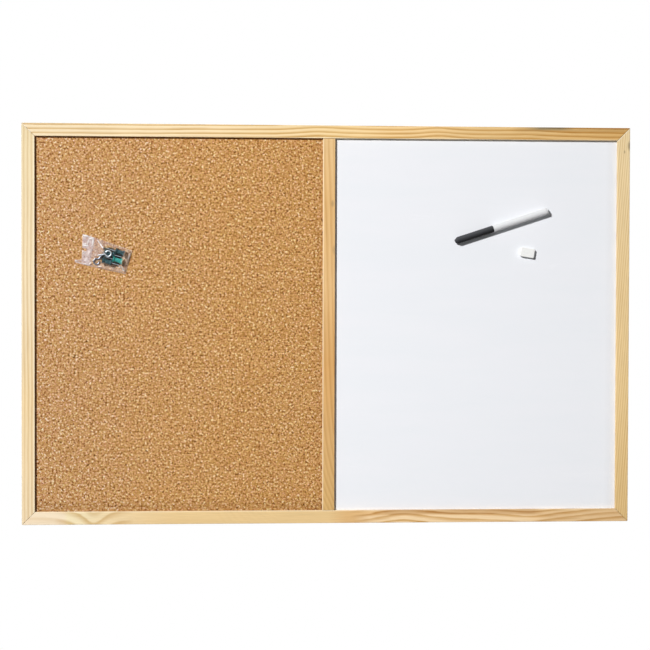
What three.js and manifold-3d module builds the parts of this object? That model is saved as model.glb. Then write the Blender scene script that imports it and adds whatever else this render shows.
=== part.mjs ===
// Whiteboard and cork board: a pine-framed combination board, with its kit of small pieces lying on it.
// Lengths are in millimetres. The board is modelled face up, X across, Y up the board and Z out of its
// front, with its back plane at Z = 0, and the last lines stand it upright with its front towards -Y.

import * as THREE from 'three';
import { mergeVertices, toCreasedNormals } from 'three/addons/utils/BufferGeometryUtils.js';
import Module from 'manifold-3d';

const wasm = await Module();
wasm.setup();

// Fits shared by every piece
const fitGap = 0.3; // left between pieces that touch
const overrun = 2; // how far a cutting shape runs past what it cuts

// Board
const boardWidth = 600;
const boardHeight = 392;

// Frame bars
const faceWidth = 12.6; // width of a bar seen from the front
const frameDepth = 14;
const lipWidth = 4; // how far the bars lap over the sheets
const lipThickness = 3.2;
const frontEasing = 0.5; // radius of the front arrises
const backEasing = 0.4;

// Centre bar
const centreBarFace = 12;
const centreBarTongue = 3.5; // how far its foot reaches under each rail

// Sheets in the frame
const corkThickness = 2;
const steelThickness = 0.4;
const corkCoreThickness = 3.5;
const backPanelThickness = 2.5;

// Corner nails, driven from behind across each mitre
const cornerNailLeg = 4.5;
const cornerNailThickness = 0.6;
const cornerNailHeight = 7;

// Points that hold the back panel
const pointWidth = 6;
const pointThickness = 0.5;
const pointReach = 7; // over the back panel
const pointGrip = 4.5; // into the wood, to the point's tip
const pointTip = 2; // length of its tapered end
const railPointShares = [-0.38, 0, 0.38]; // places along the rails, of their length
const stilePointShares = [-0.28, 0.28]; // places along the stiles, of their length

// Marker, along its own axis from the joint between cap and barrel
const markerRadius = 3.4;
const barrelLength = 57.2;
const barrelWall = 0.7;
const neckLength = 9;
const coneLength = 8;
const coneTipWall = 0.5;
const nibRadius = 1;
const nibReach = 3; // beyond the cone's tip
const shoulderFillet = 0.4;
const plugSpigot = 5;
const plugHead = 1.4;
const plugDome = 0.5;
const capLength = 40.2;
const capWall = 0.7;
const capBevelLength = 3;
const capTipRadius = 1.5;
const capTipWall = 2;
const markerTurn = 18.2; // degrees from level
const markerPlaceShares = { across: 0.0582, up: 0.2598 }; // of its field's size, from the field's middle

// Small block magnet
const magnetLength = 14;
const magnetWidth = 9;
const magnetHeight = 3.5;
const magnetCorner = 1;
const magnetBevel = 0.5;
const magnetWall = 1.2;
const magnetPlateThickness = 1.8;
const magnetTurn = -9; // degrees from level
const magnetPlaceShares = { across: 0.1805, up: 0.1956 }; // of its field's size, from the field's middle

// Push pins
const pinFlangeRadius = 3.3;
const pinFlangeThickness = 1.3;
const pinKnobRadius = 3;
const pinKnobLength = 2.6;
const pinWaistRadius = 2.1;
const pinHeadLength = 9.6;
const pinEasing = 0.4;
const needleRadius = 0.5;
const needleLength = 9; // outside the head
const needleSeat = 4; // inside the head
const needleTip = 2;
const clusterShift = 0.7; // of the pins together, from the bag's middle line to its upper side

// Screw eyes
const eyeRingRadius = 2.75; // to the middle of the wire
const eyeWireRadius = 0.7;
const eyeShankLength = 7; // beyond the ring
const eyeTipLength = 2.2;
const eyeTipShare = 0.2; // of the wire's thickness, left at the shank's end
const eyeNeckAngle = 22; // degrees round the ring from the shank, where the wire bends out
const eyeOpening = 40; // degrees round the ring from the shank, where the wire ends
const lyingEyeTurn = 66; // degrees from the bag's length, of the eye on the bag's floor
const lyingEyeSlackShare = 0.5; // how far that eye lies into the slack beside the pins
const topEyeTurn = 205; // degrees from the bag's length, of the eye on top of the pins
const topEyePlaceShares = { along: 0.21, across: 0.09 }; // of the pins' cluster

// Press-seal bag
const filmThickness = 0.3;
const mouthGap = 0.3;
const weldWidth = 0.8;
const bagLipLength = 7.3; // from the mouth to the seal, along the lower side
const sealWidth = 1.6;
const sealRise = 0.5;
const sealFlankShare = 0.25; // of the seal's width, that each flank takes
const sealSlack = 2.6; // from the seal to the first eye
const footSlack = 5; // from the pins to the foot's weld
const mouthSideSlack = 4.2; // from the pins to the side welds, at the mouth
const footSideSlack = 1.9;
const mouthSlant = 7; // how far the mouth's upper corner lies ahead of its lower one
const sealSlant = 2.7;
const hangHoleRadius = 1.6;
const hangHoleInset = 3; // from the mouth's edge to the hole's middle
const bellyShares = { middle: 1, shoulder: 0.64 }; // height of the film, of its rise over the welds
const bagTurn = -16; // degrees from level
const bagPlaceShares = { across: -0.2566, up: 0.1841 }; // of its field's size, from the field's middle

// Smoothness of round shapes
const turnSides = 32; // round a marker
const pinSides = 20;
const needleSides = 10;
const wireSides = 8;
const ringSteps = 22; // round a screw eye's ring
const wireSteps = 36; // along a screw eye's whole wire
const neckShares = [0.5, 0]; // points round the bend between ring and shank, of its turn
const shankShares = [0.3, 0.65, 1]; // points along the shank, of its length
const cornerSteps = 4;
const creaseAngle = 0.6; // edges sharper than this are shaded as edges
const mergeShare = 0.001; // of the fit gap, within which vertices are one

// Values that follow from the dimensions above
const degree = Math.PI / 180;
const wallWidth = faceWidth - lipWidth; // wood left beside the rebate
const lipUnderside = frameDepth - lipThickness;
const sheetFront = lipUnderside - fitGap;
const corkCoreFront = sheetFront - corkThickness - fitGap;
const coreBack = corkCoreFront - corkCoreThickness;
const steelCoreFront = sheetFront - steelThickness - fitGap;
const panelFront = coreBack - fitGap;
const panelBack = panelFront - backPanelThickness;
const pointFloor = panelBack - fitGap - pointThickness;
const nailInset = wallWidth / 2; // from the frame's outer edges to a corner nail's bend
const rebateWidth = boardWidth - 2 * wallWidth;
const rebateHeight = boardHeight - 2 * wallWidth;
const openingHeight = boardHeight - 2 * faceWidth;
const centreBarWeb = centreBarFace - 2 * lipWidth;
const sheetWidth = (rebateWidth - centreBarWeb) / 2 - 2 * fitGap;
const sheetHeight = rebateHeight - 2 * fitGap;
const sheetCentre = (rebateWidth + centreBarWeb) / 4;
const fieldWidth = (boardWidth - 2 * faceWidth - centreBarFace) / 2;
const fieldCentre = (fieldWidth + centreBarFace) / 2;

// Materials
function finish(color, roughness, metalness = 0) {
  return new THREE.MeshStandardMaterial({ color, roughness, metalness });
}

const pine = finish(0xe8d0a0, 0.55);
const cork = finish(0xc59b69, 0.9);
const fibreboard = finish(0xb49a72, 0.95);
const hardboard = finish(0x7d5a3a, 0.8);
const lacqueredSteel = finish(0xeceef2, 0.15);
const brightSteel = finish(0xb9bcc0, 0.3, 1);
const whitePlastic = finish(0xf4f4f2, 0.25);
const darkPlastic = finish(0x2a2b30, 0.4);
const inkFibre = finish(0xd8d6cf, 0.9);
const inkFelt = finish(0x191a1e, 0.9);
const ferrite = finish(0x3a3a3c, 0.7);
const clearFilm = finish(0xe6e0e0, 0.1);
const navyPlastic = finish(0x123a44, 0.25);
const emeraldPlastic = finish(0x0a8a6a, 0.25);

// Solids

// Joins shared vertices, keeps only positions and drops triangles that have no area.
function weld(geometry) {
  const bare = geometry.clone();
  bare.deleteAttribute('normal');
  bare.deleteAttribute('uv');
  const merged = mergeVertices(bare, mergeShare * fitGap);
  const kept = [];
  const index = merged.index.array;
  for (let i = 0; i < index.length; i += 3) {
    const [a, b, c] = [index[i], index[i + 1], index[i + 2]];
    if (a !== b && b !== c && c !== a) kept.push(a, b, c);
  }
  merged.setIndex(kept);
  return merged;
}

function toManifold(geometry) {
  const welded = weld(geometry);
  return new wasm.Manifold(new wasm.Mesh({
    numProp: 3,
    vertProperties: new Float32Array(welded.attributes.position.array),
    triVerts: new Uint32Array(welded.index.array),
  }));
}

function toGeometry(manifold) {
  const mesh = manifold.getMesh();
  const geometry = new THREE.BufferGeometry();
  geometry.setAttribute('position', new THREE.BufferAttribute(mesh.vertProperties, 3));
  geometry.setIndex(new THREE.BufferAttribute(mesh.triVerts, 1));
  return geometry;
}

function cut(geometry, cutters) {
  const body = cutters.reduce((rest, cutter) => rest.subtract(toManifold(cutter)), toManifold(geometry));
  return toGeometry(body);
}

function join(geometries) {
  return toGeometry(geometries.map(toManifold).reduce((body, other) => body.add(other)));
}

function piece(name, geometry, material, place = new THREE.Vector3()) {
  const mesh = new THREE.Mesh(toCreasedNormals(weld(geometry), creaseAngle), material);
  mesh.name = name;
  mesh.position.copy(place);
  return mesh;
}

function group(...children) {
  const holder = new THREE.Group();
  holder.add(...children);
  return holder;
}

// A box between two corners.
function boxBetween(low, high) {
  const size = high.map((value, axis) => value - low[axis]);
  const box = new THREE.BoxGeometry(...size);
  return box.translate(...low.map((value, axis) => value + size[axis] / 2));
}

function outline(points) {
  return new THREE.Shape(points.map(([x, y]) => new THREE.Vector2(x, y)));
}

function extrude(shape, depth) {
  return new THREE.ExtrudeGeometry(shape, { depth, bevelEnabled: false, curveSegments: cornerSteps });
}

// A revolved solid whose profile is given as [radius, height along the axis].
function revolve(profile, sides) {
  return new THREE.LatheGeometry(profile.map(([r, y]) => new THREE.Vector2(r, y)), sides);
}

// Frame

// Section of a bar: X is the distance from its outer edge, Y the height over the back plane.
function barSection() {
  const section = new THREE.Shape();
  section.moveTo(backEasing, 0);
  section.lineTo(wallWidth, 0);
  section.lineTo(wallWidth, lipUnderside);
  section.lineTo(faceWidth, lipUnderside);
  section.lineTo(faceWidth, frameDepth - frontEasing);
  section.absarc(faceWidth - frontEasing, frameDepth - frontEasing, frontEasing, 0, Math.PI / 2, false);
  section.lineTo(frontEasing, frameDepth);
  section.absarc(frontEasing, frameDepth - frontEasing, frontEasing, Math.PI / 2, Math.PI, false);
  section.lineTo(0, backEasing);
  section.absarc(backEasing, backEasing, backEasing, Math.PI, 1.5 * Math.PI, false);
  return section;
}

// A bar with mitred ends, lying along X with its outer edge on Y = 0 and its inner edge towards -Y.
function mitredBar(length) {
  const bar = extrude(barSection(), length);
  bar.translate(0, 0, -length / 2);
  const setback = fitGap / 2 * Math.SQRT2;
  const position = bar.attributes.position;
  for (let i = 0; i < position.count; i += 1) {
    const end = Math.sign(position.getZ(i));
    position.setZ(i, end * (length / 2 - position.getX(i) - setback));
  }
  const across = new THREE.Vector3(0, -1, 0);
  const front = new THREE.Vector3(0, 0, 1);
  const along = new THREE.Vector3(-1, 0, 0);
  return bar.applyMatrix4(new THREE.Matrix4().makeBasis(across, front, along));
}

// An L-shaped corner nail with its legs along +X and -Y from the middle of its corner, or, grown by the
// fit gap, the slot that it is driven into.
function cornerNail(growth = 0) {
  const half = cornerNailThickness / 2 + growth;
  const leg = cornerNailLeg + growth;
  const shape = outline([
    [-half, half], [leg, half], [leg, -half], [half, -half], [half, -leg], [-half, -leg],
  ]);
  return growth > 0
    ? extrude(shape, cornerNailHeight + growth + overrun).translate(0, 0, -overrun)
    : extrude(shape, cornerNailHeight);
}

// A flat point that lies over the back panel, with its tapered end in the wood towards +Y and Y = 0 on the
// rebate's wall, or the slot for it.
function panelPoint(growth = 0) {
  const half = pointWidth / 2 + growth;
  const tip = pointGrip + growth;
  const shape = outline([
    [-half, -pointReach], [half, -pointReach], [half, tip - pointTip], [half - pointTip, tip],
    [pointTip - half, tip], [-half, tip - pointTip],
  ]);
  return extrude(shape, pointThickness + 2 * growth).translate(0, 0, pointFloor - growth);
}

// One side of the frame with the points driven into it, turned into place about the board's middle.
function frameSide(name, length, distance, turn, pointShares, firstPoint) {
  const ends = [1, -1].map((side) => cornerNail(fitGap)
    .rotateZ(side > 0 ? 0 : -Math.PI / 2)
    .translate(side * (nailInset - length / 2), -nailInset, 0));
  const stations = pointShares.map((share) => share * length);
  const slots = stations.map((x) => panelPoint(fitGap).translate(x, -wallWidth, 0));
  const bar = piece(name, cut(mitredBar(length), [...ends, ...slots]), pine);
  const points = stations.map((x, i) => piece(
    `panel_point_${firstPoint + i}`, panelPoint(), brightSteel, new THREE.Vector3(x, -wallWidth, 0)));
  const side = group(bar, ...points);
  side.position.y = distance;
  const turned = group(side);
  turned.rotation.z = turn;
  return turned;
}

function frame() {
  const perRail = railPointShares.length;
  const perStile = stilePointShares.length;
  const [top, bottom, left, right] = [1, 1 + perRail, 1 + 2 * perRail, 1 + 2 * perRail + perStile];
  const sides = [
    frameSide('frame_rail_top', boardWidth, boardHeight / 2, 0, railPointShares, top),
    frameSide('frame_rail_bottom', boardWidth, boardHeight / 2, Math.PI, railPointShares, bottom),
    frameSide('frame_stile_left', boardHeight, boardWidth / 2, Math.PI / 2, stilePointShares, left),
    frameSide('frame_stile_right', boardHeight, boardWidth / 2, -Math.PI / 2, stilePointShares, right),
  ];
  const x = boardWidth / 2 - nailInset;
  const y = boardHeight / 2 - nailInset;
  const corners = [
    ['corner_nail_top_left', -x, y, 0],
    ['corner_nail_top_right', x, y, -Math.PI / 2],
    ['corner_nail_bottom_right', x, -y, Math.PI],
    ['corner_nail_bottom_left', -x, -y, Math.PI / 2],
  ];
  const nails = corners.map(([name, cx, cy, turn]) => {
    const nail = piece(name, cornerNail(), brightSteel, new THREE.Vector3(cx, cy, 0));
    nail.rotation.z = turn;
    return nail;
  });
  return group(...sides, ...nails);
}

// The bar between the halves: a flush face strip with eased edges, and a foot between the two cores that
// reaches under both rails.
function centreBar() {
  const half = centreBarFace / 2;
  const section = new THREE.Shape();
  section.moveTo(-half, lipUnderside);
  section.lineTo(half, lipUnderside);
  section.lineTo(half, frameDepth - frontEasing);
  section.absarc(half - frontEasing, frameDepth - frontEasing, frontEasing, 0, Math.PI / 2, false);
  section.lineTo(frontEasing - half, frameDepth);
  section.absarc(frontEasing - half, frameDepth - frontEasing, frontEasing, Math.PI / 2, Math.PI, false);
  const length = openingHeight - 2 * fitGap;
  const strip = extrude(section, length).translate(0, 0, -length / 2).rotateX(Math.PI / 2);
  const webHalf = centreBarWeb / 2;
  const web = boxBetween(
    [-webHalf, -length / 2, coreBack], [webHalf, length / 2, lipUnderside + lipThickness / 2]);
  const footHalf = openingHeight / 2 + centreBarTongue;
  const foot = boxBetween([-webHalf, -footHalf, coreBack], [webHalf, footHalf, sheetFront]);
  return piece('centre_bar', join([strip, web, foot]), pine);
}

// Sheets

function sheet(name, side, front, back, material) {
  const x = side * sheetCentre;
  return piece(name, boxBetween(
    [x - sheetWidth / 2, -sheetHeight / 2, back], [x + sheetWidth / 2, sheetHeight / 2, front]), material);
}

function sheets() {
  const panelHalf = [(rebateWidth / 2) - fitGap, (rebateHeight / 2) - fitGap];
  return group(
    sheet('cork_sheet', -1, sheetFront, sheetFront - corkThickness, cork),
    sheet('cork_core', -1, corkCoreFront, coreBack, fibreboard),
    sheet('whiteboard_sheet', 1, sheetFront, sheetFront - steelThickness, lacqueredSteel),
    sheet('whiteboard_core', 1, steelCoreFront, coreBack, fibreboard),
    piece('back_panel', boxBetween(
      [-panelHalf[0], -panelHalf[1], panelBack], [...panelHalf, panelFront]), hardboard),
  );
}

// Marker, modelled along Y with the cap towards -Y

const barrelBore = markerRadius - barrelWall;
const capBore = markerRadius - capWall;
const neckRadius = capBore - fitGap;
const neckBore = neckRadius - barrelWall;
const coneTip = neckLength + coneLength;
const nibHole = nibRadius + fitGap;
const plugBack = barrelLength - plugHead;

function markerBarrel() {
  const shoulder = fitGap / 2;
  return revolve([
    [nibHole, -coneTip], [nibHole + coneTipWall, -coneTip], [neckRadius, -neckLength], [neckRadius, shoulder],
    [markerRadius - shoulderFillet, shoulder], [markerRadius, shoulder + shoulderFillet],
    [markerRadius, plugBack - fitGap], [barrelBore, plugBack - fitGap], [barrelBore, shoulder + barrelWall],
    [neckBore, shoulder + barrelWall], [neckBore, -neckLength], [nibHole, -neckLength - coneTipWall],
    [nibHole, -coneTip],
  ], turnSides);
}

function markerEndPlug() {
  const spigot = barrelBore - fitGap;
  return revolve([
    [0, plugBack - plugSpigot], [spigot, plugBack - plugSpigot], [spigot, plugBack],
    [markerRadius, plugBack], [markerRadius, barrelLength - plugDome],
    [markerRadius - plugDome, barrelLength], [0, barrelLength],
  ], turnSides);
}

function markerReservoir() {
  const radius = barrelBore - fitGap;
  const front = barrelWall + 2 * fitGap;
  const back = plugBack - plugSpigot - fitGap;
  return revolve([[0, front], [radius, front], [radius, back], [0, back]], turnSides);
}

function markerNib() {
  const tip = -coneTip - nibReach;
  const back = barrelWall + fitGap;
  return revolve([
    [0, tip], [nibRadius / 2, tip + nibRadius / 4], [nibRadius, tip + nibRadius],
    [nibRadius, back], [0, back],
  ], pinSides);
}

function markerCap() {
  const rim = -fitGap / 2;
  const bottom = capTipWall - capLength;
  return revolve([
    [0, -capLength], [capTipRadius, -capLength], [markerRadius, capBevelLength - capLength],
    [markerRadius, rim - shoulderFillet], [markerRadius - shoulderFillet / 2, rim], [capBore, rim],
    [capBore, bottom + capBevelLength], [capTipRadius, bottom], [0, bottom],
  ], turnSides);
}

function marker() {
  const body = group(
    piece('marker_barrel', markerBarrel(), whitePlastic),
    piece('marker_end_plug', markerEndPlug(), whitePlastic),
    piece('marker_reservoir', markerReservoir(), inkFibre),
    piece('marker_nib', markerNib(), inkFelt),
    piece('marker_cap', markerCap(), darkPlastic),
  );
  body.rotation.z = -Math.PI / 2;
  const laid = group(body);
  laid.rotation.z = markerTurn * degree;
  laid.position.set(
    fieldCentre + markerPlaceShares.across * fieldWidth, markerPlaceShares.up * openingHeight,
    sheetFront + fitGap + markerRadius);
  return laid;
}

// Magnet

function roundedRectangle(length, width, corner) {
  const [x, y] = [length / 2 - corner, width / 2 - corner];
  const shape = new THREE.Shape();
  shape.absarc(x, y, corner, 0, Math.PI / 2, false);
  shape.absarc(-x, y, corner, Math.PI / 2, Math.PI, false);
  shape.absarc(-x, -y, corner, Math.PI, 1.5 * Math.PI, false);
  shape.absarc(x, -y, corner, 1.5 * Math.PI, 2 * Math.PI, false);
  return shape;
}

function magnet() {
  const inner = roundedRectangle(
    magnetLength - 2 * magnetBevel, magnetWidth - 2 * magnetBevel, magnetCorner - magnetBevel / 2);
  const block = new THREE.ExtrudeGeometry(inner, {
    depth: magnetHeight - 2 * magnetBevel, bevelSize: magnetBevel, bevelThickness: magnetBevel,
    bevelSegments: 2, curveSegments: cornerSteps,
  }).translate(0, 0, magnetBevel);
  const [pocketX, pocketY] = [magnetLength / 2 - magnetWall, magnetWidth / 2 - magnetWall];
  const pocketTop = magnetPlateThickness + fitGap;
  const pocket = boxBetween([-pocketX, -pocketY, -overrun], [pocketX, pocketY, pocketTop]);
  const [plateX, plateY] = [pocketX - fitGap, pocketY - fitGap];
  const laid = group(
    piece('magnet_cover', cut(block, [pocket]), whitePlastic),
    piece('magnet_plate', boxBetween([-plateX, -plateY, 0], [plateX, plateY, magnetPlateThickness]), ferrite),
  );
  laid.rotation.z = magnetTurn * degree;
  laid.position.set(
    fieldCentre + magnetPlaceShares.across * fieldWidth, magnetPlaceShares.up * openingHeight,
    sheetFront + fitGap);
  return laid;
}

// Push pins, modelled along Y with the knob towards -Y and the needle towards +Y

function pinHead() {
  const seat = needleRadius + fitGap;
  const flangeFoot = pinHeadLength - pinFlangeThickness;
  const knobTop = pinKnobLength - pinEasing;
  return revolve([
    [0, 0], [pinKnobRadius - pinEasing, 0], [pinKnobRadius, pinEasing],
    [pinKnobRadius - pinEasing / 2, knobTop], [pinWaistRadius, pinKnobLength],
    [pinWaistRadius, flangeFoot - pinFlangeThickness / 2],
    [pinWaistRadius + pinEasing, flangeFoot], [pinFlangeRadius - pinEasing, flangeFoot],
    [pinFlangeRadius, flangeFoot + pinEasing], [pinFlangeRadius, pinHeadLength - pinEasing],
    [pinFlangeRadius - pinEasing, pinHeadLength], [seat, pinHeadLength],
    [seat, pinHeadLength - needleSeat - fitGap], [0, pinHeadLength - needleSeat - fitGap],
  ], pinSides);
}

function pinNeedle() {
  const tip = pinHeadLength + needleLength;
  const foot = pinHeadLength - needleSeat;
  return revolve([[0, foot], [needleRadius, foot], [needleRadius, tip - needleTip], [0, tip]], needleSides);
}

// Screw eye: a wire ring about the origin that bends out into a straight pointed shank along +X
function screwEye() {
  const [open, neckAngle] = [eyeOpening * degree, eyeNeckAngle * degree];
  const sweep = 2 * Math.PI - open - neckAngle;
  const ring = Array.from({ length: ringSteps + 1 }, (_, i) => {
    const angle = -open - sweep * i / ringSteps;
    return new THREE.Vector3(eyeRingRadius * Math.cos(angle), eyeRingRadius * Math.sin(angle), 0);
  });
  const bend = eyeRingRadius * Math.sin(neckAngle) / (1 - Math.sin(neckAngle));
  const shankStart = (eyeRingRadius + bend) * Math.cos(neckAngle);
  const neck = neckShares.map((share) => {
    const turn = (Math.PI / 2 - neckAngle) * share;
    return new THREE.Vector3(shankStart - bend * Math.sin(turn), bend * (1 - Math.cos(turn)), 0);
  });
  const shank = shankShares.map((share) => new THREE.Vector3(
    THREE.MathUtils.lerp(shankStart, eyeLength, share), 0, 0));
  const wire = new THREE.Shape();
  wire.absarc(0, 0, eyeWireRadius, 0, 2 * Math.PI, false);
  const eye = new THREE.ExtrudeGeometry(wire, {
    extrudePath: new THREE.CatmullRomCurve3([...ring, ...neck, ...shank]),
    steps: wireSteps, curveSegments: wireSides / 2,
  });
  const position = eye.attributes.position;
  for (let i = 0; i < position.count; i += 1) {
    const beyond = Math.max(0, position.getX(i) - eyeLength + eyeTipLength) / eyeTipLength;
    const thickness = THREE.MathUtils.lerp(1, eyeTipShare, beyond);
    position.setY(i, position.getY(i) * thickness);
    position.setZ(i, position.getZ(i) * thickness);
  }
  return eye;
}

// Bag and its contents: X runs from the mouth to the foot, with X = 0 at the mouth's lower corner, Y across
// the bag and Z up from the surface that it lies on. The pins lie side by side in lanes, every other one the
// other way round, so that each needle passes between two heads.

const eyeOuter = eyeRingRadius + eyeWireRadius;
const eyeLength = eyeOuter + eyeShankLength; // from the ring's middle to the shank's end
const lane = pinFlangeRadius + needleRadius + fitGap;
const pinColors = [navyPlastic, emeraldPlastic, navyPlastic, navyPlastic];
const clusterHalf = (pinColors.length - 1) / 2 * lane + pinFlangeRadius;
const clusterLength = Math.max(2 * pinHeadLength + fitGap, pinHeadLength + needleLength);
const lyingEyeReach = Math.max(
  eyeLength * Math.cos(lyingEyeTurn * degree) + eyeWireRadius * Math.sin(lyingEyeTurn * degree), eyeOuter);
const lyingEyeX = bagLipLength + sealSlack + eyeOuter;
const clusterStart = lyingEyeX + lyingEyeReach + fitGap;
const clusterEnd = clusterStart + clusterLength;
const footWeld = clusterEnd + footSlack;
const bagLength = footWeld + weldWidth;
const floorTop = filmThickness + fitGap;
const pinsTop = floorTop + 2 * pinFlangeRadius;
const topEyeX = clusterStart + topEyePlaceShares.along * clusterLength;
const topEyeY = clusterShift + topEyePlaceShares.across * 2 * clusterHalf;
const topEyeEnd = topEyeX + eyeLength * Math.cos(topEyeTurn * degree);
const contentsTop = pinsTop + fitGap + 2 * eyeWireRadius;
const bellyRise = contentsTop + fitGap - filmThickness - mouthGap;

// Lines across the bag: the place along the lower side, the lead of the upper side, the film's share of its
// full rise and the seal's own rise. An inner surface stands back from the belly's ends by its inset.
function bagStations(inset) {
  const sealStart = bagLipLength - sealWidth / 2;
  const sealEnd = bagLipLength + sealWidth / 2;
  const bellyStart = Math.min(topEyeEnd, clusterStart) - fitGap - filmThickness + inset;
  const bellyEnd = clusterEnd + fitGap + filmThickness - inset;
  const { middle, shoulder } = bellyShares;
  return [
    [0, mouthSlant, 0, 0],
    [sealStart, sealSlant, 0, 0],
    [sealStart + sealFlankShare * sealWidth, sealSlant, 0, 1],
    [sealEnd - sealFlankShare * sealWidth, sealSlant, 0, 1],
    [sealEnd, sealSlant, 0, 0],
    [(sealEnd + bellyStart) / 2, sealSlant / 2, shoulder, 0],
    [bellyStart, 0, middle, 0],
    [(bellyStart + bellyEnd) / 2, 0, middle, 0],
    [bellyEnd, 0, middle, 0],
    [(bellyEnd + footWeld) / 2, 0, shoulder, 0],
    [footWeld, 0, 0, 0],
    [bagLength, 0, 0, 0],
  ];
}

// Lines along the bag at one station: the place across and the film's share of its full rise.
function bagRows(along, inset) {
  const slack = THREE.MathUtils.lerp(mouthSideSlack, footSideSlack, along / bagLength);
  const belly = clusterHalf + fitGap + filmThickness - inset;
  const seam = clusterHalf + slack;
  const half = (side) => {
    const edge = clusterShift + side * belly;
    const shoulder = (edge + side * seam) / 2;
    return [[side * (seam + weldWidth), 0], [side * seam, 0], [shoulder, bellyShares.shoulder], [edge, 1]];
  };
  return [...half(-1), [clusterShift, 1], ...half(1).reverse()];
}

// A closed skin over a grid of stations and rows, with a flat floor.
function pillow(stations, rowRange, floor, roof, inset) {
  const points = [];
  const ring = stations.map(([along, lead, share, seal]) => {
    const rows = bagRows(along, inset);
    const width = rows.at(-1)[0] - rows[0][0];
    return rows.slice(...rowRange).map(([y, rowShare]) => {
      const x = along - lead * (y - rows[0][0]) / width;
      const top = roof + bellyRise * share * rowShare + sealRise * seal;
      points.push([x, y, floor], [x, y, top]);
      return points.length - 2;
    });
  });
  const faces = [];
  const quad = (a, b, c, d) => faces.push(a, b, c, a, c, d);
  const [lastRow, lastRing] = [ring[0].length - 1, ring.length - 1];
  for (let i = 0; i < lastRing; i += 1) {
    for (let j = 0; j < lastRow; j += 1) {
      const [a, b, c, d] = [ring[i][j], ring[i + 1][j], ring[i + 1][j + 1], ring[i][j + 1]];
      quad(a, d, c, b);
      quad(a + 1, b + 1, c + 1, d + 1);
    }
    quad(ring[i][0], ring[i + 1][0], ring[i + 1][0] + 1, ring[i][0] + 1);
    quad(ring[i + 1][lastRow], ring[i][lastRow], ring[i][lastRow] + 1, ring[i + 1][lastRow] + 1);
  }
  for (let j = 0; j < lastRow; j += 1) {
    quad(ring[0][j + 1], ring[0][j], ring[0][j] + 1, ring[0][j + 1] + 1);
    quad(ring[lastRing][j], ring[lastRing][j + 1], ring[lastRing][j + 1] + 1, ring[lastRing][j] + 1);
  }
  const geometry = new THREE.BufferGeometry();
  geometry.setAttribute('position', new THREE.Float32BufferAttribute(points.flat(), 3));
  geometry.setIndex(faces);
  return geometry;
}

function bagPouch() {
  const outer = pillow(bagStations(0), [0], 0, 2 * filmThickness + mouthGap, 0);
  const inside = bagStations(filmThickness).slice(0, -1);
  inside[0][0] -= overrun;
  const inner = pillow(inside, [1, -1], filmThickness, filmThickness + mouthGap, filmThickness);
  const hole = new THREE.CylinderGeometry(hangHoleRadius, hangHoleRadius, 2 * overrun, pinSides)
    .rotateX(Math.PI / 2).translate(hangHoleInset - mouthSlant / 2, 0, 0);
  return cut(outer, [inner, hole]);
}

function pushPin(number, material) {
  const first = -(pinColors.length - 1) / 2;
  const pin = group(
    piece(`pin_${number}_head`, pinHead(), material),
    piece(`pin_${number}_needle`, pinNeedle(), brightSteel));
  const knobAtMouth = number % 2 === 1;
  pin.rotation.z = knobAtMouth ? -Math.PI / 2 : Math.PI / 2;
  pin.position.set(
    knobAtMouth ? clusterStart : clusterEnd,
    clusterShift + (first + number - 1) * lane,
    floorTop + pinFlangeRadius);
  return pin;
}

function layEye(name, turn, x, y, z) {
  const eye = piece(name, screwEye(), brightSteel, new THREE.Vector3(x, y, z));
  eye.rotation.z = turn * degree;
  return eye;
}

function bag() {
  const lyingEyeY = eyeOuter - clusterHalf - lyingEyeSlackShare * mouthSideSlack;
  const filled = group(
    piece('bag_pouch', bagPouch(), clearFilm),
    ...pinColors.map((material, i) => pushPin(i + 1, material)),
    layEye('screw_eye_1', topEyeTurn, topEyeX, topEyeY, pinsTop + fitGap + eyeWireRadius),
    layEye('screw_eye_2', lyingEyeTurn, lyingEyeX, lyingEyeY, floorTop + eyeWireRadius),
  );
  filled.position.x = (mouthSlant / 2 - bagLength) / 2;
  const laid = group(filled);
  laid.rotation.z = bagTurn * degree;
  laid.position.set(
    -fieldCentre + bagPlaceShares.across * fieldWidth, bagPlaceShares.up * openingHeight,
    sheetFront + fitGap);
  return laid;
}

// Stands the board upright with the middle of the top rail's back at the origin, where it hangs.
const board = group(frame(), centreBar(), sheets(), marker(), magnet(), bag());
board.rotation.x = Math.PI / 2;
board.position.z = wallWidth / 2 - boardHeight / 2;

export default group(board);
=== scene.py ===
"""Finishes, light and camera for a pine-framed wall board, half cork and half whiteboard, with its kit."""

import math

import bpy
from mathutils import Matrix, Vector
from mathutils.noise import noise as noise_value


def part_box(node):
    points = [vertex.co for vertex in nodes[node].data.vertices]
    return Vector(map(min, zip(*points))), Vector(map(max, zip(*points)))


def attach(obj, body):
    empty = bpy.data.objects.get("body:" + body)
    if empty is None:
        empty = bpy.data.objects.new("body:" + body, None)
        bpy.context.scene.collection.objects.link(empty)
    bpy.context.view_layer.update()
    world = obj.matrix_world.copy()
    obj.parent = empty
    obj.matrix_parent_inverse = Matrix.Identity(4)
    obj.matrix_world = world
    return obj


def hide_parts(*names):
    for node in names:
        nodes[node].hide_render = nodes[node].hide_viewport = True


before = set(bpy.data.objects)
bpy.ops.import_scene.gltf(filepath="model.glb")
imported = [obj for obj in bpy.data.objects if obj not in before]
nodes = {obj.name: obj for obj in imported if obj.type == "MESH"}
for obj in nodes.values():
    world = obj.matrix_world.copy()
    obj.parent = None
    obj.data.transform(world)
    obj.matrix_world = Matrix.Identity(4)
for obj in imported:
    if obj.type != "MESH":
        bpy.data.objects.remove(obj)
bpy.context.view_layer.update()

MM = 0.001
rail_low, rail_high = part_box("frame_rail_top")
foot_low, foot_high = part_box("frame_rail_bottom")
LEFT, RIGHT, TOP, FOOT = rail_low.x, rail_high.x, rail_high.z, foot_low.z
FRONT = rail_low.y
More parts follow.
